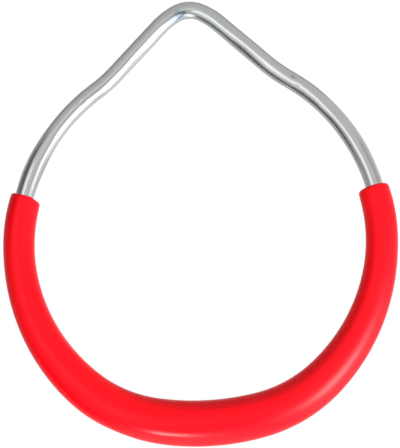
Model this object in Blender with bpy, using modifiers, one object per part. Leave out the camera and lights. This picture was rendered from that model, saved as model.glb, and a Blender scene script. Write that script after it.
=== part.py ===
"""Hanging hand ring: a round steel bar bent into a loop with a pointed crown, and a thick grip on its lower part.

The ring stands in the XZ plane, with +Z up and +Y through it. The origin is the point that the ring hangs by,
on the underside of the crown. Metres throughout.
"""
import math

import bpy
import bmesh
from mathutils import Vector

# Steel bar: the bends of one half, walked from the bottom middle up to the crown
BAR_DIAMETER = 0.010
BOTTOM_RADIUS = 0.140
BOTTOM_TURN = math.radians(12.0)
CORNER_RADIUS = 0.078
CORNER_TURN = math.radians(30.0)
SIDE_RADIUS = 0.106
SIDE_TURN = math.radians(104.0)
NECK_RADIUS = 0.080
NECK_TURN = math.radians(10.5)
SHOULDER_RADIUS = 0.044
SHOULDER_TURN = math.radians(15.5)
CROWN_RADIUS = 0.0155

# Butt weld: both bar ends are chamfered all round down to a small flat land
ROOT_GAP = 0.0016
LAND_RADIUS = 0.0025
JOINT_CLEARANCE = 0.0003

# Grip: a moulded sleeve, thickest at its middle
GRIP_LENGTH = 0.373
GRIP_SHIFT = -0.0034
GRIP_MIDDLE_DIAMETER = 0.0249
GRIP_ARM_DIAMETER = 0.0175
GRIP_END_DIAMETER = 0.0169
GRIP_SWELL_HALF_LENGTH = 0.155
GRIP_SWELL_POWER = 1.5
GRIP_END_TAPER = 0.014
GRIP_END_ROUNDING = 0.0018
GRIP_INWARD_OFFSET = 0.0005
GRIP_BORE_CLEARANCE = 0.0003

# Fineness of the faceted surfaces: sections along the bar, then sides round it
CHORD_ERROR = 0.00004
LONGEST_BEND_STEP = 0.006
LONGEST_STRAIGHT_STEP = 0.024
CLOSEST_SECTIONS = 0.0015
BAR_BEVEL_RESOLUTION = 8
GRIP_BEVEL_RESOLUTION = 12
BORE_BEVEL_RESOLUTION = 6
ROUNDING_STEPS = 4
WELD_STEPS = 24

SHARP_RIM_ANGLE = math.radians(40.0)

# Finishes: colour, roughness and metallic value
ZINC_PLATE = ((0.664, 0.664, 0.664, 1.0), 0.13, 1.0)
GROUND_WELD = ((0.45, 0.45, 0.47, 1.0), 0.45, 1.0)
RED_PLASTIC = ((0.865, 0.002, 0.009, 1.0), 0.24, 0.0)

BAR_RADIUS = BAR_DIAMETER / 2
MERGE_DISTANCE = 0.00001


def run_along(start, heading, curvature, distance):
    """Where a bend or a straight leads to in the XZ plane: the point and the new heading."""
    if curvature == 0.0:
        return start + distance * Vector((math.cos(heading), 0, math.sin(heading))), heading
    new_heading = heading + curvature * distance
    across = Vector((math.sin(new_heading) - math.sin(heading), 0, math.cos(heading) - math.cos(new_heading)))
    return start + across / curvature, new_heading


def half_bar_runs():
    """The right half of the bar, bottom middle to crown top, as runs of start, heading, curvature and length."""
    bends = (
        (BOTTOM_RADIUS, BOTTOM_TURN),
        (CORNER_RADIUS, CORNER_TURN),
        (SIDE_RADIUS, SIDE_TURN),
        (-NECK_RADIUS, NECK_TURN),
    )
    runs = []
    point = Vector((0, 0, 0))
    heading = 0.0
    for radius, turn in bends:
        length = abs(radius) * turn
        runs.append((point, heading, 1 / radius, length))
        point, heading = run_along(point, heading, 1 / radius, length)
    # The straight flank ends where a wide shoulder bend leads into the tight crown bend on the ring's middle
    crown_turn = math.pi - heading - SHOULDER_TURN
    shoulder_width = SHOULDER_RADIUS * (math.sin(heading) - math.sin(heading + SHOULDER_TURN))
    crown_width = CROWN_RADIUS * math.sin(crown_turn)
    flank = (point.x - shoulder_width - crown_width) / -math.cos(heading)
    top_runs = (
        (0.0, flank),
        (1 / SHOULDER_RADIUS, SHOULDER_RADIUS * SHOULDER_TURN),
        (1 / CROWN_RADIUS, CROWN_RADIUS * crown_turn),
    )
    for curvature, length in top_runs:
        runs.append((point, heading, curvature, length))
        point, heading = run_along(point, heading, curvature, length)
    # Move the whole walk so that the underside of the crown is at the origin
    lift = Vector((0, 0, BAR_RADIUS - point.z))
    return [(start + lift, heading, curvature, length) for start, heading, curvature, length in runs]


HALF_BAR = half_bar_runs()
HALF_LENGTH = sum(length for _, _, _, length in HALF_BAR)


def on_centreline(distance, inward=0.0):
    """A point on the centreline or inward of it. Distances run from the bottom middle, plus to the right."""
    left = abs(distance)
    for start, heading, curvature, length in HALF_BAR:
        point, angle = run_along(start, heading, curvature, min(left, length))
        left -= length
        if left <= 0:
            break
    point = point + inward * Vector((-math.sin(angle), 0, math.cos(angle)))
    return Vector((math.copysign(1.0, distance) * point.x, 0, point.z))


def step_length(curvature):
    """The longest step along a bend whose chord stays within the allowed error."""
    if curvature == 0.0:
        return LONGEST_STRAIGHT_STEP
    return min(LONGEST_BEND_STEP, math.sqrt(8 * CHORD_ERROR / abs(curvature)))


def half_stations():
    """Distances from the bottom middle at which the right half of the bar has a section."""
    stations = []
    done = 0.0
    for _, _, curvature, length in HALF_BAR:
        count = max(1, math.ceil(length / step_length(curvature)))
        stations += [done + length * i / count for i in range(count)]
        done += length
    return stations


def stations_between(first, last):
    """Sections from one distance along the bar to another, counted through the bottom middle."""
    right = half_stations()
    both = [-d for d in reversed(right[1:])] + right
    inner = [d for d in both if first + CLOSEST_SECTIONS < d < last - CLOSEST_SECTIONS]
    return [first] + inner + [last]


def grip_radius(from_middle):
    """Radius of the grip at a distance from its own middle, before its ends are rounded."""
    reach = abs(from_middle)
    swell = 0.0
    if reach < GRIP_SWELL_HALF_LENGTH:
        swell = math.cos(math.pi / 2 * reach / GRIP_SWELL_HALF_LENGTH) ** GRIP_SWELL_POWER
    diameter = GRIP_ARM_DIAMETER + (GRIP_MIDDLE_DIAMETER - GRIP_ARM_DIAMETER) * swell
    into_taper = max(0.0, reach - (GRIP_LENGTH / 2 - GRIP_END_TAPER)) / GRIP_END_TAPER
    diameter -= (GRIP_ARM_DIAMETER - GRIP_END_DIAMETER) * into_taper ** 2
    return diameter / 2


def material(name, surface):
    """A Principled material of one of the finishes above."""
    colour, roughness, metallic = surface
    made = bpy.data.materials.new(name)
    made.use_nodes = True
    shader = made.node_tree.nodes["Principled BSDF"]
    shader.inputs["Base Color"].default_value = colour
    shader.inputs["Roughness"].default_value = roughness
    shader.inputs["Metallic"].default_value = metallic
    return made


def tube(name, sections, bevel_resolution, collection):
    """A tube with filled ends as a curve object. Each section is a centre point and a radius."""
    curve = bpy.data.curves.new(name, "CURVE")
    curve.dimensions = "3D"
    curve.bevel_depth = BAR_RADIUS
    curve.bevel_resolution = bevel_resolution
    curve.use_fill_caps = True
    spline = curve.splines.new("POLY")
    spline.points.add(len(sections) - 1)
    for point, (centre, radius) in zip(spline.points, sections):
        point.co = (*centre, 1.0)
        point.radius = radius / BAR_RADIUS
    made = bpy.data.objects.new(name, curve)
    collection.objects.link(made)
    return made


def to_mesh(curve_object, collection):
    """Turns a tube into a closed mesh object under the same name, and removes the curve."""
    name = curve_object.name
    bpy.context.view_layer.update()
    evaluated = curve_object.evaluated_get(bpy.context.evaluated_depsgraph_get())
    mesh = bpy.data.meshes.new_from_object(evaluated)
    placing = curve_object.matrix_world.copy()
    bpy.data.objects.remove(curve_object)
    shape = bmesh.new()
    shape.from_mesh(mesh)
    bmesh.ops.remove_doubles(shape, verts=shape.verts, dist=MERGE_DISTANCE)
    bmesh.ops.recalc_face_normals(shape, faces=shape.faces)
    shape.to_mesh(mesh)
    shape.free()
    made = bpy.data.objects.new(name, mesh)
    made.matrix_world = placing
    collection.objects.link(made)
    return made


def finish(piece, surface):
    """Gives a mesh piece its material, and smooth shading with sharp rims."""
    piece.data.materials.clear()
    piece.data.materials.append(surface)
    piece.data.shade_smooth()
    piece.data.set_sharp_from_angle(angle=SHARP_RIM_ANGLE)


def build_steel_bar(collection):
    """The bent bar, from its right-hand end over the crown to its left-hand end. Both ends are chamfered."""
    land = ROOT_GAP / 2
    shoulder = land + BAR_RADIUS - LAND_RADIUS
    half = [(land, LAND_RADIUS), (shoulder, BAR_RADIUS)]
    half += [(distance, BAR_RADIUS) for distance in half_stations() if distance > shoulder + CLOSEST_SECTIONS]
    sections = [(on_centreline(distance), radius) for distance, radius in half]
    sections.append((on_centreline(HALF_LENGTH), BAR_RADIUS))
    sections += [(on_centreline(-distance), radius) for distance, radius in reversed(half)]
    bar = to_mesh(tube("steel_bar", sections, BAR_BEVEL_RESOLUTION, collection), collection)
    finish(bar, material("bright zinc plate", ZINC_PLATE))
    return bar


def build_butt_weld(collection):
    """The weld between the bar ends, turned about the bar's axis: thin at its root and flush outside."""
    # The chamfers stand at 45 degrees, and the weld keeps the same clearance from them as from the lands
    land_radius = LAND_RADIUS + JOINT_CLEARANCE * math.tan(math.radians(22.5))
    root = ROOT_GAP / 2 - JOINT_CLEARANCE
    face = root + BAR_RADIUS - land_radius
    upper = [(0.0, root), (land_radius, root), (BAR_RADIUS, face)]
    profile = upper + [(radius, -height) for radius, height in reversed(upper)]
    mesh = bpy.data.meshes.new("butt_weld")
    edges = [(i, i + 1) for i in range(len(profile) - 1)]
    mesh.from_pydata([(radius, 0, height) for radius, height in profile], edges, [])
    weld = bpy.data.objects.new("butt_weld", mesh)
    collection.objects.link(weld)
    weld.location = on_centreline(0.0)
    weld.rotation_euler = (0, math.pi / 2, 0)
    turn = weld.modifiers.new("turned", "SCREW")
    turn.steps = WELD_STEPS
    turn.render_steps = WELD_STEPS
    turn.use_merge_vertices = True
    turn.merge_threshold = MERGE_DISTANCE
    mesh.materials.append(material("weld metal", GROUND_WELD))
    return weld


def build_grip_sleeve(collection, cutters):
    """The moulded sleeve: a tapering tube along the bar with rounded rims, bored right through for the bar."""
    half = GRIP_LENGTH / 2
    first = GRIP_SHIFT - half
    last = GRIP_SHIFT + half
    # Each pair is a distance in from the end plane and the amount that the rounding takes off the radius there
    rounding = []
    for i in range(1, ROUNDING_STEPS + 1):
        angle = math.pi / 2 * i / ROUNDING_STEPS
        rounding.append((GRIP_END_ROUNDING * (1 - math.sin(angle)), GRIP_END_ROUNDING * (1 - math.cos(angle))))
    outer = []
    for distance in stations_between(first + GRIP_END_ROUNDING, last - GRIP_END_ROUNDING):
        outer.append((distance, grip_radius(distance - GRIP_SHIFT)))
    for inset, less in rounding:
        outer.append((first + inset, grip_radius(half - inset) - less))
        outer.append((last - inset, grip_radius(half - inset) - less))
    outer.sort()
    # The mould's outside stands a little inwards of the bar, so the wall is thicker on the inside of the ring
    sections = [(on_centreline(distance, GRIP_INWARD_OFFSET), radius) for distance, radius in outer]
    sleeve = to_mesh(tube("grip_sleeve", sections, GRIP_BEVEL_RESOLUTION, collection), collection)

    # The bore follows the bar itself, and its cutter runs past both ends of the sleeve
    bore_radius = BAR_RADIUS + GRIP_BORE_CLEARANCE
    bore_stations = stations_between(first - BAR_DIAMETER, last + BAR_DIAMETER)
    bore_sections = [(on_centreline(distance), bore_radius) for distance in bore_stations]
    bore = to_mesh(tube("grip_bore", bore_sections, BORE_BEVEL_RESOLUTION, cutters), cutters)
    bore.hide_render = True
    bore.display_type = "WIRE"
    cut = sleeve.modifiers.new("bore", "BOOLEAN")
    cut.operation = "DIFFERENCE"
    cut.solver = "EXACT"
    cut.object = bore
    finish(sleeve, material("moulded red grip", RED_PLASTIC))
    return sleeve


def main():
    for old in list(bpy.data.objects):
        bpy.data.objects.remove(old)
    parts = bpy.data.collections.new("hand_ring")
    cutters = bpy.data.collections.new("cutters")
    bpy.context.scene.collection.children.link(parts)
    bpy.context.scene.collection.children.link(cutters)
    build_steel_bar(parts)
    build_butt_weld(parts)
    build_grip_sleeve(parts, cutters)
    print("bar length in mm:", round(1000 * (2 * HALF_LENGTH - ROOT_GAP), 1))
    print("straight flanks in mm:", round(1000 * HALF_BAR[-3][3], 1))


main()
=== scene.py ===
# %% [markdown]
# # A hanging hand ring
# This is the ring of a swing set or a climbing frame. It is a round steel bar, bent cold to a
# closed loop with a pointed crown, and a thick red grip is moulded round its lower part. The ring
# hangs by the underside of its crown. The lesson dresses the plain solids of the ring: finer
# surfaces with the small faults of a real one, a zinc finish that mirrors a studio, and a satin red
# plastic. All lengths are metres, +Z is up, and the crown's underside is at the origin.

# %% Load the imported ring
import math

import bmesh
import bpy
from mathutils import Matrix, Vector
from mathutils.noise import noise as perlin


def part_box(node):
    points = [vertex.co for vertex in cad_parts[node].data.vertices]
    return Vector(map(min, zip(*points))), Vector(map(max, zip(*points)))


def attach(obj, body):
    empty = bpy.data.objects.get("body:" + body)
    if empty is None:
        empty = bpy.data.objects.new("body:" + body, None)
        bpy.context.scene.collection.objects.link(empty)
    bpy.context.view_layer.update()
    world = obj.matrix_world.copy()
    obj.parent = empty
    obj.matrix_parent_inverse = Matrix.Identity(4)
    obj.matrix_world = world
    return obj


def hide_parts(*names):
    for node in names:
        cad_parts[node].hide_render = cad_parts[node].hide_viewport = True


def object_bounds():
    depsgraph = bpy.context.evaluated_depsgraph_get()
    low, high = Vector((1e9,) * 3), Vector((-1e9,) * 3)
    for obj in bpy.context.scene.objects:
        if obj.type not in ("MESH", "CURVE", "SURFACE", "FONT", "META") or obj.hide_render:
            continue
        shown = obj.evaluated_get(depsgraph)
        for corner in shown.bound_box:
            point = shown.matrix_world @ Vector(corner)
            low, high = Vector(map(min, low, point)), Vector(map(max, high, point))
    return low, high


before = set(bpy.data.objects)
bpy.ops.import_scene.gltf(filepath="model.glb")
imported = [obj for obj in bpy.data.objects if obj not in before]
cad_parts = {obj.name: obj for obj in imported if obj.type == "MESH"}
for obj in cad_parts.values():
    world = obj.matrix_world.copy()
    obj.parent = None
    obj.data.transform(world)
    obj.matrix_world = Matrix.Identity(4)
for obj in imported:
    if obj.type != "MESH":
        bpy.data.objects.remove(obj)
cad_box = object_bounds()
print("nodes:", ", ".join(sorted(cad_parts)))

# %% [markdown]
# ## Where the camera stands
# The ring looks photographed with a long lens from about a metre away, from a little below and a
# little to its right, and the camera was not quite level. A camera could be pointed with a Track To
# constraint, but a tilt of the horizon can't be set that way. So its three axes are worked out from
# three angles and put into its matrix. The focal length was measured in pixels. Divided by the
# picture's longer side, which is its height, and multiplied by the width of the sensor, it becomes
# the lens in millimetres that Blender asks for.

# %% Place the camera
VIEW_PITCH = math.radians(-10.0)
VIEW_YAW = math.radians(4.4)
VIEW_ROLL = math.radians(-2.775)
VIEW_DISTANCE = 1.0
VIEW_AIM = Vector((0.00104, 0.0, -0.11667))
FOCAL_PIXELS = 1824.45
PICTURE_HIGH = 448
SENSOR_MM = 36.0

to_camera = Vector((
    math.sin(VIEW_YAW) * math.cos(VIEW_PITCH),
    -math.cos(VIEW_YAW) * math.cos(VIEW_PITCH),
    math.sin(VIEW_PITCH),
))
level_right = (-to_camera).cross(Vector((0, 0, 1))).normalized()
level_up = level_right.cross(-to_camera)
picture_right = math.cos(VIEW_ROLL) * level_right + math.sin(VIEW_ROLL) * level_up
picture_up = math.cos(VIEW_ROLL) * level_up - math.sin(VIEW_ROLL) * level_right

camera_data = bpy.data.cameras.new("long_lens")
camera_data.sensor_width = SENSOR_MM
camera_data.lens = FOCAL_PIXELS * SENSOR_MM / PICTURE_HIGH
camera = bpy.data.objects.new("camera", camera_data)
axes = Matrix((picture_right, picture_up, to_camera)).transposed()
camera.matrix_world = Matrix.Translation(VIEW_AIM + VIEW_DISTANCE * to_camera) @ axes.to_4x4()
bpy.context.scene.collection.objects.link(camera)
bpy.context.scene.camera = camera
print("lens:", round(camera_data.lens, 1), "mm")

# %% [markdown]
# ## The line that the bar follows
# A bent bar is straights and arcs that run into each other, because each bend is made round a
# roller. The same bends that shaped the solids are repeated here as radius and turn, walked from
# the bottom middle up the right-hand side. The left-hand side mirrors it. A Bezier curve could be
# drawn by eye instead, but arcs keep the true radii.

# %% The bends of one half
BAR_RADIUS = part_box("steel_bar")[1].z / 2
BENDS = (
    # radius, turn in degrees; a minus sign bends the bar the other way
    (0.140, 12.0),
    (0.078, 30.0),
    (0.106, 104.0),
    (-0.080, 10.5),
)
SHOULDER_RADIUS = 0.044
SHOULDER_TURN = math.radians(15.5)
CROWN_RADIUS = 0.0155


def walk(point, heading, curvature, distance):
    """The point and heading at the end of a straight or an arc in the XZ plane."""
    if curvature == 0.0:
        return point + distance * Vector((math.cos(heading), 0, math.sin(heading))), heading
    turned = heading + curvature * distance
    across = Vector((math.sin(turned) - math.sin(heading), 0, math.cos(heading) - math.cos(turned)))
    return point + across / curvature, turned


def half_of_the_bar():
    """Runs of start, heading, curvature and length, from the bottom middle to the top of the crown."""
    runs = []
    point = Vector((0, 0, 0))
    heading = 0.0
    for radius, degrees in BENDS:
        length = abs(radius) * math.radians(degrees)
        runs.append((point, heading, 1 / radius, length))
        point, heading = walk(point, heading, 1 / radius, length)
    crown_turn = math.pi - heading - SHOULDER_TURN
    shoulder_width = SHOULDER_RADIUS * (math.sin(heading) - math.sin(heading + SHOULDER_TURN))
    flank = (point.x - shoulder_width - CROWN_RADIUS * math.sin(crown_turn)) / -math.cos(heading)
    shoulder = (1 / SHOULDER_RADIUS, SHOULDER_RADIUS * SHOULDER_TURN)
    crown = (1 / CROWN_RADIUS, CROWN_RADIUS * crown_turn)
    for curvature, length in ((0.0, flank), shoulder, crown):
        runs.append((point, heading, curvature, length))
        point, heading = walk(point, heading, curvature, length)
    lift = Vector((0, 0, BAR_RADIUS - point.z))
    return [(start + lift, angle, curvature, length) for start, angle, curvature, length in runs]


HALF_BAR = half_of_the_bar()
HALF_LENGTH = sum(length for _, _, _, length in HALF_BAR)


def bar_at(distance):
    """Centre, direction along and direction inwards. Distances on the right are positive."""
    left = abs(distance)
    for start, heading, curvature, length in HALF_BAR:
        point, angle = walk(start, heading, curvature, min(left, length))
        left -= length
        if left <= 0:
            break
    side = math.copysign(1.0, distance)
    centre = Vector((side * point.x, 0, point.z))
    along = Vector((math.cos(angle), 0, side * math.sin(angle)))
    inward = Vector((-side * math.sin(angle), 0, math.cos(angle)))
    return centre, along, inward


MM = 1000
bottom, _, _ = bar_at(0.0)
print("bar:", round(MM * 2 * HALF_LENGTH, 1), "mm round the loop")
print("lowest point of the bar:", round(MM * (bottom.z - BAR_RADIUS), 1), "mm")

# %% [markdown]
# ## A skin laid over sections
# Bar, weld and grip are all round bodies whose section changes a little along the way. A curve with
# a bevel would give a tube, but every section of it would be the same circle. So a small helper
# lays a skin over rings of points: each ring is a section, and neighbouring rings are joined by
# quads. It also stores two things for the finishes. "straight" is where each point would be if the
# bar were pulled straight, so that drawing lines run along the bar and no pattern has a seam, and
# the UV map runs along and round the piece.

# %% Helper: skin over sections
FRONT = Vector((0, -1, 0))


def angles_round(sides, shift=0.0):
    """Even angles round a section, turned by a share of one step."""
    return [2 * math.pi * (j + shift) / sides for j in range(sides)]


def section_point(centre, inward, angle, radius):
    """A point of a section. Angle 0 faces the front, a quarter turn faces the inside of the loop."""
    return centre + radius * (math.cos(angle) * FRONT + math.sin(angle) * inward)


def straightened(radius, angle, distance):
    """Where a point would be if the bar were pulled straight."""
    return Vector((radius * math.cos(angle), radius * math.sin(angle), distance))


def into_scene(shape, name):
    """Turns a bmesh into an object of the scene."""
    mesh = bpy.data.meshes.new(name)
    shape.to_mesh(mesh)
    shape.free()
    made = bpy.data.objects.new(name, mesh)
    bpy.context.scene.collection.objects.link(made)
    return made


def skin(name, rings, straight, closed):
    """A mesh object from rings of points. The last ring joins the first, or both get a cap."""
    shape = bmesh.new()
    flat = shape.verts.layers.float_vector.new("straight")
    grid = []
    for ring, places in zip(rings, straight):
        row = []
        for point, place in zip(ring, places):
            vert = shape.verts.new(point)
            vert[flat] = place
            row.append(vert)
        grid.append(row)
    sides = len(grid[0])
    uv = shape.loops.layers.uv.new("UVMap")
    count = len(grid) if closed else len(grid) - 1
    for i in range(count):
        near = grid[i]
        far = grid[(i + 1) % len(grid)]
        for j in range(sides):
            k = (j + 1) % sides
            face = shape.faces.new((near[j], near[k], far[k], far[j]))
            corners = ((i, j), (i, j + 1), (i + 1, j + 1), (i + 1, j))
            for loop, (u, v) in zip(face.loops, corners):
                loop[uv].uv = (u / len(grid), v / sides)
    if not closed:
        shape.faces.new(grid[0][::-1])
        shape.faces.new(grid[-1])
    bmesh.ops.recalc_face_normals(shape, faces=shape.faces)
    made = into_scene(shape, name)
    made.data.shade_smooth()
    return made


print("angles of a section with six sides:", [round(math.degrees(angle)) for angle in angles_round(6)])

# %% [markdown]
# ## The steel bar
# A bar that is bent cold doesn't stay a perfect cylinder. In a tight bend its section goes slightly
# oval, thinner from inside to outside and wider across. Elsewhere the rollers leave a fainter oval
# that leans to one side, and the lean changes along the bar, so the bands that the bar mirrors
# swell, shrink and wander. Its whole surface is also a little uneven, in waves a centimetre or two
# long. The bending tool left small shallow flats where the hollow below each flank begins, and two
# wider ones at the ends of the right flank. Above the left mouth of the grip the bar's radius is
# 0.6 mm larger, and on the right arm 0.12 mm. All of these are modelled as small changes of the
# section's radius, because a bump shader would leave the outline perfect. Perlin noise is the same
# at each run, so it suits the waves. The two ends meet at the bottom, hidden by the grip, and keep
# their weld chamfers.

# %% Bar: size of its faults
CROWN_OVAL = 0.020
BEND_OVAL = 0.004
OVAL_FADE = 0.010
WAVE_DEPTH = 0.00020
WAVES_ROUND = 220.0
WAVES_ALONG = 75.0
RIGHT_LEANS = (
    # distance along, how far the oval leans there as a share of the radius
    (0.185, 0.000),
    (0.210, 0.035),
    (0.226, 0.050),
    (0.244, -0.020),
    (0.268, -0.010),
    (0.292, -0.035),
    (0.316, 0.060),
    (0.332, 0.000),
)
LEFT_LEANS = (
    (0.185, 0.000),
    (0.207, 0.015),
    (0.231, 0.025),
    (0.255, -0.012),
    (0.279, -0.016),
    (0.303, -0.045),
    (0.327, 0.015),
    (0.332, 0.000),
)
TOOL_MARKS = (
    # distance along, angle round, reach along, reach round, depth
    (0.3150, 0.12, 0.0070, 0.28, 0.000280),
    (0.2740, 0.12, 0.0065, 0.28, 0.000240),
    (0.2612, -0.45, 0.0018, 0.30, 0.000035),
    (0.2560, 0.25, 0.0024, 0.35, 0.000140),
    (0.2508, 0.10, 0.0009, 0.90, 0.000060),
    (-0.2430, 0.10, 0.0010, 0.60, 0.000080),
    (-0.2512, 0.00, 0.0012, 0.60, 0.000120),
    (-0.2580, 0.05, 0.0016, 0.45, 0.000110),
    (-0.2628, -0.05, 0.0014, 0.50, 0.000090),
    (-0.2680, -0.10, 0.0018, 0.45, 0.000080),
)
SWELLINGS = (
    # distance along, reach along, how much larger the radius is
    (-0.2070, 0.0140, 0.00060),
    (0.2100, 0.0120, 0.00012),
)
print("shallow flats:", len(TOOL_MARKS), "and places with a larger radius:", len(SWELLINGS))

# %% Bar: radius of a section
FAINT_BEYOND = 4


def bell(value, reach):
    """A smooth bump, 1 in its middle and nearly 0 at three times its reach."""
    return math.exp(-0.5 * (value / reach) ** 2)


def eased(before, after, share):
    """A value between two others, with a soft start and a soft end."""
    return before + (after - before) * share * share * (3 - 2 * share)


def ovality(distance):
    """How much thinner the section is from inside to outside, strongest in the crown bend."""
    _, _, _, crown_half = HALF_BAR[-1]
    from_crown = HALF_LENGTH - abs(distance)
    into = (crown_half + OVAL_FADE / 2 - from_crown) / OVAL_FADE
    return eased(BEND_OVAL, CROWN_OVAL, min(1.0, max(0.0, into)))


def wave(distance, angle):
    """How far the uneven surface lies below a true cylinder."""
    across = WAVES_ROUND * BAR_RADIUS
    place = Vector((across * math.cos(angle), across * math.sin(angle), WAVES_ALONG * distance))
    return WAVE_DEPTH * (0.5 + 0.5 * perlin(place))


def lean(distance):
    """How far the oval leans at one place, blended between the listed ones."""
    leans = RIGHT_LEANS if distance > 0 else LEFT_LEANS
    for (first, before), (last, after) in zip(leans, leans[1:]):
        if first <= abs(distance) < last:
            return eased(before, after, (abs(distance) - first) / (last - first))
    return 0.0


def swelling(distance):
    """How much larger the bar's radius is near the mouths of the grip."""
    return sum(extra * bell(distance - place, reach) for place, reach, extra in SWELLINGS)


def bar_radius(distance, angle):
    """Radius of the bar's section in one direction, without the swellings."""
    radius = BAR_RADIUS * (1 - ovality(distance) * (0.5 - 0.5 * math.cos(2 * angle)))
    tilted = lean(distance)
    radius *= 1 + tilted * math.sin(2 * angle) - abs(tilted) * math.sin(2 * angle) ** 2
    radius -= wave(distance, angle)
    for mark, turn, reach_along, reach_round, depth in TOOL_MARKS:
        if abs(distance - mark) < FAINT_BEYOND * reach_along:
            round_about = math.remainder(angle - turn, 2 * math.pi)
            radius -= depth * bell(distance - mark, reach_along) * bell(round_about, reach_round)
    return radius


print("radius in front, at the top of the crown:", round(MM * bar_radius(HALF_LENGTH, 0.0), 3), "mm")

# %% Bar: build the mesh
BAR_SIDES = 72
BAR_STEP = 0.0012
ROOT_GAP = 0.0016
LAND_RADIUS = 0.0025


def spread(first, last, step):
    """Evenly spread distances from first to last, no further apart than step."""
    count = math.ceil((last - first) / step)
    return [first + (last - first) * i / count for i in range(count + 1)]


def bar_sections():
    """Distance and largest radius of each section, from the right end over the crown to the left end."""
    land = ROOT_GAP / 2
    full_width = land + BAR_RADIUS - LAND_RADIUS
    half = [(land, LAND_RADIUS)] + [(d, BAR_RADIUS) for d in spread(full_width, HALF_LENGTH, BAR_STEP)]
    return half + [(-d, r) for d, r in reversed(half[:-1])]


def build_bar():
    """The bar as one skin, its faults in the radius of each section."""
    rings = []
    straight = []
    for distance, most in bar_sections():
        centre, _, inward = bar_at(distance)
        run = distance if distance > 0 else 2 * HALF_LENGTH + distance
        ring = []
        places = []
        for angle in angles_round(BAR_SIDES):
            radius = min(most, bar_radius(distance, angle)) + swelling(distance)
            ring.append(section_point(centre, inward, angle, radius))
            places.append(straightened(BAR_RADIUS, angle, run))
        rings.append(ring)
        straight.append(places)
    return skin("bent_bar", rings, straight, closed=False)


bar = build_bar()
print("bent bar:", len(bar.data.polygons), "faces")

# %% [markdown]
# ## Bright zinc plate
# The bar is drawn through a die and then plated with zinc. Drawing leaves very fine lines along it.
# The plate is bright but not a perfect mirror: it blurs what it reflects a little, more in some
# streaks than in others, and its clear passivation gives faint blue and straw tints in patches a
# few millimetres across. Noise that is stretched along the straightened bar gives the streaks, and
# a round noise gives the patches. A painted image could carry all this too, but noise in the shader
# needs no picture and stays sharp from near by. Some places need more than noise, and these are
# painted reflections in the plate's colour: a greenish tint under the crown that paints the cyan
# tint of the glow mirrored there, a painted dark reflection to its left, bluish with a darker
# middle, and two grey spots by the tool's flats on the right that paint the darker reflection of
# those dents. Each is found by the distance to its place on the straightened bar, with one scale
# along the bar and another across.

# %% Helper: shader building
def new_finish(name):
    """A material, its node tree and its Principled shader."""
    finish = bpy.data.materials.new(name)
    finish.use_nodes = True
    tree = finish.node_tree
    shader = tree.nodes["Principled BSDF"]
    return finish, tree, shader


def add_node(tree, kind, **settings):
    """A node with some of its settings and unlinked sockets filled in."""
    node = tree.nodes.new(kind)
    for key, value in settings.items():
        if key in node.inputs:
            node.inputs[key].default_value = value
        else:
            setattr(node, key, value)
    return node


def straight_place(tree, scale):
    """The point on the straightened piece, scaled differently across and along it."""
    place = add_node(tree, "ShaderNodeAttribute", attribute_name="straight")
    mapping = add_node(tree, "ShaderNodeMapping", Scale=scale)
    tree.links.new(place.outputs["Vector"], mapping.inputs["Vector"])
    return mapping.outputs["Vector"]


def noise(tree, scale, detail):
    """Noise on the straightened piece, with one scale across and another along it, in waves per metre."""
    node = add_node(tree, "ShaderNodeTexNoise", Scale=1.0, Detail=detail)
    tree.links.new(straight_place(tree, scale), node.inputs["Vector"])
    return node.outputs["Fac"]


def remap(tree, value, low, high, new_low, new_high):
    """Stretches a value from one range to another."""
    node = add_node(tree, "ShaderNodeMapRange")
    for i, number in enumerate((low, high, new_low, new_high), start=1):
        node.inputs[i].default_value = number
    tree.links.new(value, node.inputs[0])
    return node.outputs["Result"]


def blend_colours(tree, share, first, second):
    """Mixes two colours, each given as a colour or as the output of another node."""
    node = add_node(tree, "ShaderNodeMix", data_type="RGBA")
    colour_inputs = [socket for socket in node.inputs if socket.type == "RGBA"]
    for socket, colour in zip(colour_inputs, (first, second)):
        if isinstance(colour, tuple):
            socket.default_value = colour
        else:
            tree.links.new(colour, socket)
    tree.links.new(share, node.inputs["Factor"])
    return [socket for socket in node.outputs if socket.type == "RGBA"][0]


def bump(tree, shader, heights):
    """Chains bumps of (height, depth in metres) onto the shader's normal."""
    normal = None
    for height, depth in heights:
        node = add_node(tree, "ShaderNodeBump", Strength=1.0, Distance=depth)
        tree.links.new(height, node.inputs["Height"])
        if normal is not None:
            tree.links.new(normal, node.inputs["Normal"])
        normal = node.outputs["Normal"]
    tree.links.new(normal, shader.inputs["Normal"])


FINISH_HELPERS = (new_finish, add_node, straight_place, noise, remap, blend_colours, bump)
print("helpers for finishes:", ", ".join(helper.__name__ for helper in FINISH_HELPERS))

# %% Zinc plate
ZINC = (0.664, 0.664, 0.664, 1.0)
ZINC_BLUE = (0.610, 0.650, 0.690, 1.0)
ZINC_STRAW = (0.700, 0.690, 0.655, 1.0)
ZINC_ROUGHNESS = (0.10, 0.15)
# how fine each noise is: waves per metre across the bar, twice, and along it
DRAWN_LINES = (2600, 2600, 45)
STREAKS = (700, 700, 30)
PLATE_WAVES = (180, 180, 90)
TINT_PATCHES = (160, 160, 110)
DRAWN_DEPTH = 0.0000002
PLATE_DEPTH = 0.00004
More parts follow.
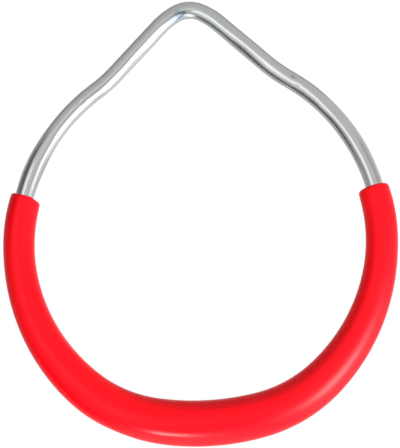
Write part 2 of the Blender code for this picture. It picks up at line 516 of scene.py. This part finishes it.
# ranges of a noise, which lies between 0 and 1, that are stretched to a roughness or a share
MOST_NOISE = (0.3, 0.7)
BLUE_PATCHES = (0.50, 0.72)
STRAW_PATCHES = (0.50, 0.28)
TINT_SHARE = (0.0, 0.15)
PAINTED_REFLECTION_EDGE = (0.3, 1.0)
# painted reflections: each spot changes the plate's colour to paint a tint or a dark patch that the bar
# mirrors
PAINTED_REFLECTIONS = (
    # colour, distance along, angle round, reach along, reach round
    # greenish tint that paints the cyan tint of the glow mirrored under the crown
    ((0.625, 0.668, 0.660, 1.0), HALF_LENGTH - 0.014, 0.35, 0.026, 0.0042),
    # bluish patch and its darker middle: a painted dark reflection left of the crown
    ((0.500, 0.570, 0.655, 1.0), HALF_LENGTH + 0.0066, 0.70, 0.0080, 0.0046),
    ((0.330, 0.410, 0.480, 1.0), HALF_LENGTH + 0.0062, 0.48, 0.0031, 0.0031),
    # grey spots that paint the darker reflection of the tool's flats on the right
    ((0.430, 0.432, 0.435, 1.0), 0.2598, -0.28, 0.0022, 0.0013),
    ((0.520, 0.520, 0.525, 1.0), 0.2550, 0.30, 0.0026, 0.0011),
)


def near_place(tree, run, turn, along, across):
    """1 at a place on the straightened bar, fading to 0 at the reaches along it and across it."""
    scale = Vector((1 / across, 1 / across, 1 / along))
    place = straightened(BAR_RADIUS, turn, run)
    apart = add_node(tree, "ShaderNodeVectorMath", operation="DISTANCE")
    tree.links.new(straight_place(tree, scale), apart.inputs[0])
    apart.inputs[1].default_value = place * scale
    return remap(tree, apart.outputs["Value"], *PAINTED_REFLECTION_EDGE, 1.0, 0.0)


def zinc_plate():
    """Zinc with drawn lines, streaks of unlike gloss, faint tints and painted reflections in its colour."""
    finish, tree, shader = new_finish("bright_zinc_plate")
    shader.inputs["Metallic"].default_value = 1.0
    drawn = noise(tree, DRAWN_LINES, detail=3)
    streaks = noise(tree, STREAKS, detail=2)
    waves = noise(tree, PLATE_WAVES, detail=0)
    patches = noise(tree, TINT_PATCHES, detail=3)
    bluish = blend_colours(tree, remap(tree, patches, *BLUE_PATCHES, *TINT_SHARE), ZINC, ZINC_BLUE)
    tints_and_painted_reflections = blend_colours(tree, remap(tree, patches, *STRAW_PATCHES, *TINT_SHARE), bluish, ZINC_STRAW)
    for colour, run, turn, along, across in PAINTED_REFLECTIONS:
        tints_and_painted_reflections = blend_colours(tree, near_place(tree, run, turn, along, across), tints_and_painted_reflections, colour)
    tree.links.new(tints_and_painted_reflections, shader.inputs["Base Color"])
    tree.links.new(remap(tree, streaks, *MOST_NOISE, *ZINC_ROUGHNESS), shader.inputs["Roughness"])
    bump(tree, shader, ((waves, PLATE_DEPTH), (drawn, DRAWN_DEPTH)))
    return finish


bar.data.materials.append(zinc_plate())
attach(bar, "root")
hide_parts("steel_bar")
print("zinc plate on", bar.name)

# %% [markdown]
# ## The butt weld
# Where the two ends of the bar meet, the gap between their chamfers is filled with weld metal and
# ground flush, so that the grip can slide over it. The grip hides it in every view, but it is a
# piece of its own. A short cylinder would do for the eye, but the skin helper takes its true
# profile at no more cost: the same profile as its solid, with more sides. It is dull grey with
# grinding lines round the bar.

# %% Weld
WELD_SIDES = 72
CLEARANCE = 0.0003
CHAMFER = math.radians(45.0)
SHARP_FROM = math.radians(30)
WELD_COOL = (0.36, 0.36, 0.38, 1.0)
WELD_WARM = (0.52, 0.50, 0.47, 1.0)
WELD_ROUGHNESS = (0.35, 0.55)
GRINDING_LINES = (250, 250, 6000)
GRINDING_DEPTH = 0.00002
HEAT_PATCHES = (300, 300, 300)


def build_weld():
    """The weld as one skin over the profile between the two chamfers."""
    land = LAND_RADIUS + CLEARANCE * math.tan(CHAMFER / 2)
    root = ROOT_GAP / 2 - CLEARANCE
    face = root + BAR_RADIUS - land
    profile = [(-root, land), (-face, BAR_RADIUS), (face, BAR_RADIUS), (root, land)]
    centre, along, inward = bar_at(0.0)
    rings = []
    straight = []
    for offset, most in profile:
        ring = []
        places = []
        for angle in angles_round(WELD_SIDES):
            ring.append(section_point(centre + offset * along, inward, angle, most))
            places.append(straightened(most, angle, offset))
        rings.append(ring)
        straight.append(places)
    return skin("ground_weld", rings, straight, closed=False)


def weld_metal():
    """Dull ground steel with patches from the heat."""
    finish, tree, shader = new_finish("weld_metal")
    shader.inputs["Metallic"].default_value = 1.0
    grinding = noise(tree, GRINDING_LINES, detail=3)
    heat = noise(tree, HEAT_PATCHES, detail=2)
    shade = blend_colours(tree, heat, WELD_COOL, WELD_WARM)
    tree.links.new(shade, shader.inputs["Base Color"])
    tree.links.new(remap(tree, grinding, *MOST_NOISE, *WELD_ROUGHNESS), shader.inputs["Roughness"])
    bump(tree, shader, ((grinding, GRINDING_DEPTH),))
    return finish


weld = build_weld()
weld.data.set_sharp_from_angle(angle=SHARP_FROM)
weld.data.materials.append(weld_metal())
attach(weld, "root")
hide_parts("butt_weld")
print("weld:", len(weld.data.polygons), "faces")

# %% [markdown]
# ## The grip
# The grip is one moulded sleeve, 25 mm thick at the bottom where the hand pulls and 17.5 mm on the
# arms. Its outside stands half a millimetre nearer the inside of the loop than the bar does, and a
# little more at the mouths. The ends are cut square, with a soft rim that is sharper on the outside
# of the left mouth, and the cut is never quite flat. Low on the left the outside is pressed a
# little flat. Where the two halves of the mould met, in the plane of the loop, a faint line stands
# proud. A torus could be the start of such a grip, but its thickness changes all along, so the skin
# over sections serves again. It starts at one mouth, runs along the outside to the other, and comes
# back through the bore, so it is one closed surface.

# %% Grip: size along the bar
GRIP_LENGTH = 0.373
GRIP_SHIFT = -0.0034
GRIP_MIDDLE_DIAMETER = 0.0249
GRIP_ARM_DIAMETER = 0.0175
GRIP_END_DIAMETER = 0.0169
GRIP_SWELL_HALF_LENGTH = 0.155
GRIP_SWELL_POWER = 1.5
GRIP_END_TAPER = 0.014


def grip_radius(from_middle):
    """Radius of the grip at a distance from its own middle."""
    reach = abs(from_middle)
    swell = 0.0
    if reach < GRIP_SWELL_HALF_LENGTH:
        swell = math.cos(math.pi / 2 * reach / GRIP_SWELL_HALF_LENGTH) ** GRIP_SWELL_POWER
    diameter = GRIP_ARM_DIAMETER + (GRIP_MIDDLE_DIAMETER - GRIP_ARM_DIAMETER) * swell
    into_taper = max(0.0, reach - (GRIP_LENGTH / 2 - GRIP_END_TAPER)) / GRIP_END_TAPER
    diameter -= (GRIP_ARM_DIAMETER - GRIP_END_DIAMETER) * into_taper ** 2
    return diameter / 2


for share in (0.0, 0.5, 1.0):
    place = share * GRIP_LENGTH / 2
    thick = round(MM * 2 * grip_radius(place), 1)
    print("grip", round(MM * place), "mm from its middle:", thick, "mm thick")

# %% Grip: small faults of the moulding
LEFT_RIM_SHARPNESS = 0.6
CUT_UNEVENNESS = 0.00022
WIDE_RIPPLE = 0.4
WIDE_RIPPLE_TURN = 1.7
NARROW_RIPPLE = 0.3
NARROW_RIPPLES = 3
SETBACK_FROM = 0.55
INNER_SETBACK_RIGHT = 0.0003
INNER_SETBACK_LEFT = 0.0013
FLAT_PLACE = -0.045
FLAT_REACH = 0.011
FLAT_REACH_ROUND = 0.5
FLAT_DEPTH = 0.0006
SEAM_HEIGHT = 0.00006
SEAM_REACH = 0.0003


def uneven_cut(angle, end):
    """How far the cut end stands back at one place round the mouth. The end is 1 right and -1 left."""
    wide = WIDE_RIPPLE * math.sin(angle + WIDE_RIPPLE_TURN * end)
    narrow = NARROW_RIPPLE * math.sin(NARROW_RIPPLES * angle - end)
    towards_inside = max(0.0, (math.sin(angle) - SETBACK_FROM) / (1 - SETBACK_FROM))
    setback = INNER_SETBACK_RIGHT if end > 0 else INNER_SETBACK_LEFT
    return CUT_UNEVENNESS * (wide + narrow) + setback * towards_inside


def pressed_flat(distance, angle):
    """Depth of the shallow flat on the outside, low on the left."""
    from_outside = math.remainder(angle + math.pi / 2, 2 * math.pi)
    return FLAT_DEPTH * bell(distance - FLAT_PLACE, FLAT_REACH) * bell(from_outside, FLAT_REACH_ROUND)


def sharper_rim(angle, end, rounded_off):
    """How much of the rim's rounding is missing on the outside of the left mouth."""
    towards_outside = max(0.0, -math.sin(angle))
    return LEFT_RIM_SHARPNESS * towards_outside * rounded_off if end < 0 else 0.0


def below_seam(angle, radius):
    """How far the skin lies below the crest of the parting line, on the loop's inside and outside."""
    from_plane = abs(abs(math.remainder(angle, 2 * math.pi)) - math.pi / 2) * radius
    return SEAM_HEIGHT * (1 - bell(from_plane, SEAM_REACH))


print("left cut, on the loop's inside:", round(MM * uneven_cut(math.pi / 2, -1.0), 2), "mm back")

# %% Grip: rings from mouth to mouth
GRIP_STEP = 0.0015
GRIP_INWARD_OFFSET = 0.0005
RIM_ROUNDING = 0.0018
RIM_STEPS = 8
BORE_RADIUS = BAR_RADIUS + CLEARANCE
BORE_STEP = 0.004
BORE_INSET = 0.0005
BORE_FLARE = 0.0004


def grip_profile():
    """Distance, radius and centre offset of each ring, along the outside and back through the bore."""
    half = GRIP_LENGTH / 2
    first = GRIP_SHIFT - half
    last = GRIP_SHIFT + half
    outside = []
    for distance in spread(first + RIM_ROUNDING, last - RIM_ROUNDING, GRIP_STEP):
        outside.append((distance, grip_radius(distance - GRIP_SHIFT), GRIP_INWARD_OFFSET))
    rim = []
    for i in range(1, RIM_STEPS + 1):
        angle = math.pi / 2 * i / RIM_STEPS
        inset = RIM_ROUNDING * (1 - math.sin(angle))
        less = RIM_ROUNDING * (1 - math.cos(angle))
        rim.append((inset, grip_radius(half - inset) - less))
    right = [(last - inset, radius, GRIP_INWARD_OFFSET) for inset, radius in rim]
    left = [(first + inset, radius, GRIP_INWARD_OFFSET) for inset, radius in reversed(rim)]
    bore = []
    for distance in spread(first + BORE_INSET, last - BORE_INSET, BORE_STEP):
        bore.append((distance, BORE_RADIUS, 0.0))
    halfway = 0.5 * (grip_radius(half) - RIM_ROUNDING + BORE_RADIUS)
    right_mouth = [(last, halfway, GRIP_INWARD_OFFSET / 2), (last, BORE_RADIUS + BORE_FLARE, 0.0)]
    left_mouth = [(first, BORE_RADIUS + BORE_FLARE, 0.0), (first, halfway, GRIP_INWARD_OFFSET / 2)]
    return outside + right + right_mouth + bore[::-1] + left_mouth + left


print("rings of the grip:", len(grip_profile()))

# %% Grip: build the mesh
GRIP_SIDES = 120
CUT_FADE = 0.008
MOUTH_LEAN = 0.85
MOUTH_REACH = 0.009
# a ring this much wider than the bore belongs to the rim, or to the outside
WALL_AT_RIM = 0.001
WALL_OUTSIDE = 0.002


def build_grip():
    """The grip as one closed skin, with the faults of its moulding."""
    half = GRIP_LENGTH / 2
    rings = []
    straight = []
    for distance, most, offset in grip_profile():
        centre, along, inward = bar_at(distance)
        from_end = half - abs(distance - GRIP_SHIFT)
        end = math.copysign(1.0, distance)
        near_end = max(0.0, 1 - from_end / CUT_FADE)
        offset *= 1 + MOUTH_LEAN * bell(from_end, MOUTH_REACH)
        on_rim = most > BORE_RADIUS + WALL_AT_RIM
        rounded_off = grip_radius(distance - GRIP_SHIFT) - most if on_rim else 0.0
        ring = []
        places = []
        for angle in angles_round(GRIP_SIDES, shift=0.5):
            radius = most
            if most > BORE_RADIUS + WALL_OUTSIDE:
                radius -= below_seam(angle, most) + pressed_flat(distance, angle)
            radius += sharper_rim(angle, end, rounded_off)
            back = -end * near_end * uneven_cut(angle, end)
            ring.append(section_point(centre + offset * inward + back * along, inward, angle, radius))
            places.append(straightened(radius, angle, distance))
        rings.append(ring)
        straight.append(places)
    return skin("moulded_grip", rings, straight, closed=True)


grip = build_grip()
print("moulded grip:", len(grip.data.polygons), "faces")

# %% [markdown]
# ## Satin red plastic
# The grip is soft plastic, coloured right through, with a satin skin from the mould. It isn't
# evenly red: the colour is a little deeper in long soft streaks where the plastic flowed. The skin
# has a fine grain that spreads the highlights. It is a little smoother where hands have rubbed it,
# and duller towards the right, where the highlight is broad and soft. A plain Principled shader
# with a low specular level suits it, because soft plastic mirrors less than hard plastic does. The
# photographed bar mirrors no red, so glossy rays don't see the grip.

# %% Red plastic
RED = (0.865, 0.0022, 0.0088, 1.0)
RED_DEEP = (0.830, 0.0010, 0.0065, 1.0)
PLASTIC_SPECULAR = 0.17
FLOW_STREAKS = (90, 90, 14)
FLOW_RANGE = (0.35, 0.75)
FLOW_SHARE = (0.0, 0.8)
RUBBED_PATCHES = (60, 60, 30)
RUBBED_ROUGHNESS = (0.17, 0.27)
DULL_FROM_TO = (-0.020, 0.060)
DULL_EXTRA = (0.0, 0.15)
SKIN_GRAIN = (2400, 2400, 2400)
GRAIN_DEPTH = 0.000012
SKIN_WAVES = (300, 300, 200)
SKIN_WAVE_DEPTH = 0.00006


def combine(tree, operation, first, second):
    """A Math node on the outputs of two others."""
    node = add_node(tree, "ShaderNodeMath", operation=operation)
    tree.links.new(first, node.inputs[0])
    tree.links.new(second, node.inputs[1])
    return node.outputs["Value"]


def red_plastic():
    """Red plastic with flow streaks, rubbed patches, a fine grain and a duller right side."""
    finish, tree, shader = new_finish("satin_red_plastic")
    shader.inputs["Specular IOR Level"].default_value = PLASTIC_SPECULAR
    flow = noise(tree, FLOW_STREAKS, detail=3)
    rubbed = noise(tree, RUBBED_PATCHES, detail=3)
    grain = noise(tree, SKIN_GRAIN, detail=2)
    waves = noise(tree, SKIN_WAVES, detail=2)
    colour = blend_colours(tree, remap(tree, flow, *FLOW_RANGE, *FLOW_SHARE), RED, RED_DEEP)
    tree.links.new(colour, shader.inputs["Base Color"])
    parts = add_node(tree, "ShaderNodeSeparateXYZ")
    tree.links.new(straight_place(tree, (1, 1, 1)), parts.inputs["Vector"])
    dull = remap(tree, parts.outputs["Z"], *DULL_FROM_TO, *DULL_EXTRA)
    gloss = remap(tree, rubbed, *MOST_NOISE, *RUBBED_ROUGHNESS)
    tree.links.new(combine(tree, "ADD", gloss, dull), shader.inputs["Roughness"])
    bump(tree, shader, ((waves, SKIN_WAVE_DEPTH), (grain, GRAIN_DEPTH)))
    return finish


grip.data.materials.append(red_plastic())
grip.visible_glossy = False
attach(grip, "root")
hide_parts("grip_sleeve")
print("red plastic on", grip.name)

# %% [markdown]
# ## The studio
# Bright metal has no look of its own: it shows what stands round it. The photograph's background is
# white, and the bands on the bar tell where its lamps may have stood. A picture of a studio could
# be the world, but a tent made of a few values can be turned and shaded until the bands agree. So
# the ring hangs in a pale grey tent, a little brighter on the right and low down, that is open
# behind the ring towards a white backdrop. The world makes both. The camera sees white all round,
# glossy and transmission rays see it in the opening, and everything else is the tent's plain grey.
# A pale floor lies far below.

# %% Tent, backdrop and floor
TENT_GREY = 0.730
TENT_SLOPE = (0.085, 0.0, -0.165)
TENT_REACH = 0.2
BACKDROP_EDGE = (0.84, 0.92)
FLOOR_LEVEL = -1.60
FLOOR_SIZE = 30.0
FLOOR_SQUARES = 8
FLOOR_PAINT = (0.93, 0.93, 0.93, 1.0)
FLOOR_ROUGHNESS = 0.7


def build_room():
    """The tent and the white backdrop, both in the world's shader."""
    world = bpy.data.worlds.new("studio")
    bpy.context.scene.world = world
    world.use_nodes = True
    tree = world.node_tree
    background = tree.nodes["Background"]
    background.inputs["Color"].default_value = (1.0, 1.0, 1.0, 1.0)
    direction = add_node(tree, "ShaderNodeTexCoord").outputs["Generated"]
    parts = add_node(tree, "ShaderNodeSeparateXYZ")
    tree.links.new(direction, parts.inputs["Vector"])
    slope = add_node(tree, "ShaderNodeVectorMath", operation="DOT_PRODUCT")
    tree.links.new(direction, slope.inputs[0])
    slope.inputs[1].default_value = TENT_SLOPE
    greys = (TENT_GREY - TENT_REACH, TENT_GREY + TENT_REACH)
    tent = remap(tree, slope.outputs["Value"], -TENT_REACH, TENT_REACH, *greys)
    backdrop = remap(tree, parts.outputs["Y"], *BACKDROP_EDGE, 0.0, 1.0)
    rays = add_node(tree, "ShaderNodeLightPath").outputs
    mirrored = combine(tree, "MAXIMUM", rays["Is Glossy Ray"], rays["Is Transmission Ray"])
    mirrored = combine(tree, "MULTIPLY", mirrored, backdrop)
    white = combine(tree, "MAXIMUM", rays["Is Camera Ray"], mirrored)
    tree.links.new(combine(tree, "MAXIMUM", white, tent), background.inputs["Strength"])


def sheet(name, squares, size):
    """A flat square sheet about the origin, that many metres across."""
    shape = bmesh.new()
    bmesh.ops.create_grid(shape, x_segments=squares, y_segments=squares, size=size / 2)
    return into_scene(shape, name)


def build_floor():
    """A pale painted floor far below the ring."""
    floor = sheet("floor", FLOOR_SQUARES, FLOOR_SIZE)
    floor.location.z = FLOOR_LEVEL
    finish, _, shader = new_finish("pale_floor")
    shader.inputs["Base Color"].default_value = FLOOR_PAINT
    shader.inputs["Roughness"].default_value = FLOOR_ROUGHNESS
    floor.data.materials.append(finish)


build_room()
build_floor()
print("tent grey:", TENT_GREY, "and floor at", FLOOR_LEVEL, "m")

# %% [markdown]
# ## Lamps and cards
# Soft lamps make the bright bands on the bar, faint washes lift the floor and the tent in its
# mirror, and grey cards make its dark lines. Where two of them overlap, the nearer card covers what
# is behind it. The two small hot lamps give the plastic its two highlights, and a side lamp lifts
# its right arm. In the metal the hot ones would break up into sharp sparks, so light linking keeps
# these three to the grip. It keeps three strips and washes to the bar, because they would flatten
# the grip's shading. The back lamp only lightens the far side, so nothing mirrors it. Each lamp and
# card is placed by how many degrees right and up of the camera it stands, as seen from the ring.
# The camera sees only their light.

# %% Helper: places round the ring
RING_MIDDLE = Vector((0, 0, (cad_box[0][2] + cad_box[1][2]) / 2))


def towards(right, up):
    """Unit vector from the ring to a place that many degrees right and up of the camera."""
    off = math.radians(math.hypot(right, up))
    side = (right * picture_right + up * picture_up).normalized()
    return math.cos(off) * to_camera + math.sin(off) * side


def facing_ring(right, up, distance):
    """Matrix that puts a card there, its face to the ring and its top towards the picture's top."""
    out = towards(right, up)
    card_right = picture_up.cross(out).normalized()
    card_up = out.cross(card_right)
    turn = Matrix((card_right, card_up, out)).transposed()
    return Matrix.Translation(RING_MIDDLE + distance * out) @ turn.to_4x4()


def span(degrees, distance):
    """Size of a card that covers that many degrees at a distance."""
    return 2 * distance * math.tan(math.radians(degrees) / 2)


print("a card of 40 degrees at 1.5 m is", round(span(40, 1.5), 2), "m wide")

# %% Softboxes
LAMPS = (
    # name, degrees right, up, wide and tall, distance, level
    ("softbox_right", 41, -31, 46, 42, 1.3, 1.1),
    ("wash_right", 87, -32, 36, 56, 1.46, 0.27),
    ("softbox_left", -20, -3.7, 31, 59, 1.36, 0.14),
    ("strip_left", -23, -1.4, 14, 47, 1.34, 0.62),
    ("strip_far_left", -40, 1, 13, 56, 1.38, 0.34),
    ("softbox_low", -10, -81, 40, 29, 1.25, 0.95),
    ("wash_low", 80.5, -67, 87, 35.5, 1.41, 0.22),
    ("wash_under", 8, -106, 56, 28, 1.44, 0.32),
)
BACK_LAMP = ("back_lamp", 165, 20, 60, 60, 1.5, 1.2)
LAMPS_FOR_BAR = (
    ("wash_left", -82, -85, 26, 26, 1.56, 0.15),
    ("strip_right", 68.5, -28, 9, 46, 1.34, 0.6),
    ("strip_high", 57, -4.5, 36, 13, 1.36, 0.34),
)
LAMPS_FOR_GRIP = (
    ("bare_lamp_right", 41, -26, 18, 18, 1.2, 44.0),
    ("bare_lamp_low", -15.5, -58.5, 8, 11, 1.15, 40.0),
    ("side_lamp", 66, -44, 44.6, 49.7, 1.44, 1.3),
)


def softbox(name, right, up, wide, tall, distance, level, mirrored=True, only=None):
    """A lamp behind a diffusing sheet, level times as bright as white. It may light one collection only."""
    lamp = bpy.data.lights.new(name, "AREA")
    lamp.shape = "RECTANGLE"
    lamp.size = span(wide, distance)
    lamp.size_y = span(tall, distance)
    lamp.energy = level * math.pi * lamp.size * lamp.size_y
    made = bpy.data.objects.new(name, lamp)
    made.matrix_world = facing_ring(right, up, distance)
    made.visible_camera = False
    made.visible_glossy = mirrored
    if only is not None:
        made.light_linking.receiver_collection = only
    bpy.context.scene.collection.objects.link(made)


def light_alone(name, piece, lamps):
    """Lamps that light one piece only, which light linking finds in a collection of its own."""
    alone = bpy.data.collections.new(name)
    alone.objects.link(piece)
    for lamp in lamps:
        softbox(*lamp, only=alone)


for lamp in LAMPS:
    softbox(*lamp)
softbox(*BACK_LAMP, mirrored=False)
light_alone("bar_alone", bar, LAMPS_FOR_BAR)
light_alone("grip_alone", grip, LAMPS_FOR_GRIP)

# %% Dark cards
CARDS = (
    # name, degrees right, up, wide, tall and tilt, distance, shade
    ("card_middle", 9, -44, 14.5, 82, 22, 1.69, 0.42),
    ("card_left_wide", -87, -8.5, 69, 92, -12.3, 1.63, 0.49),
    ("card_left_high", -72, 33, 42, 28, 12, 1.59, 0.21),
    ("card_left_line", -70, -48, 16, 38, 0, 1.49, 0.03),
    ("card_top_left", -112, 55, 18, 26, -54.6, 1.64, 0.65),
    ("card_top_back", -30, 124, 84, 44, 0, 1.62, 0.60),
    ("card_left_back", -126, -12, 44, 90, 0, 1.61, 0.62),
    ("card_right_high", 62, 40, 47, 23, 5, 1.65, 0.72),
)


def dark_card(name, right, up, wide, tall, tilt, distance, shade):
    """A card of one grey, turned by tilt degrees in its own plane."""
    made = sheet(name, 1, 1.0)
    size = Matrix.Diagonal((span(wide, distance), span(tall, distance), 1, 1))
    turn = Matrix.Rotation(math.radians(tilt), 4, "Z")
    made.matrix_world = facing_ring(right, up, distance) @ turn @ size
    made.visible_camera = False
    finish, _, shader = new_finish(name)
    shader.inputs["Base Color"].default_value = (shade, shade, shade, 1.0)
    shader.inputs["Roughness"].default_value = 1.0
    shader.inputs["Specular IOR Level"].default_value = 0.0
    made.data.materials.append(finish)


for card in CARDS:
    dark_card(*card)
print("cards:", len(CARDS))

# %% [markdown]
# ## Last steps
# The colours are meant to come out as they are written, so the view transform is the plain one.

# %% Finish
bpy.context.scene.view_settings.view_transform = "Standard"
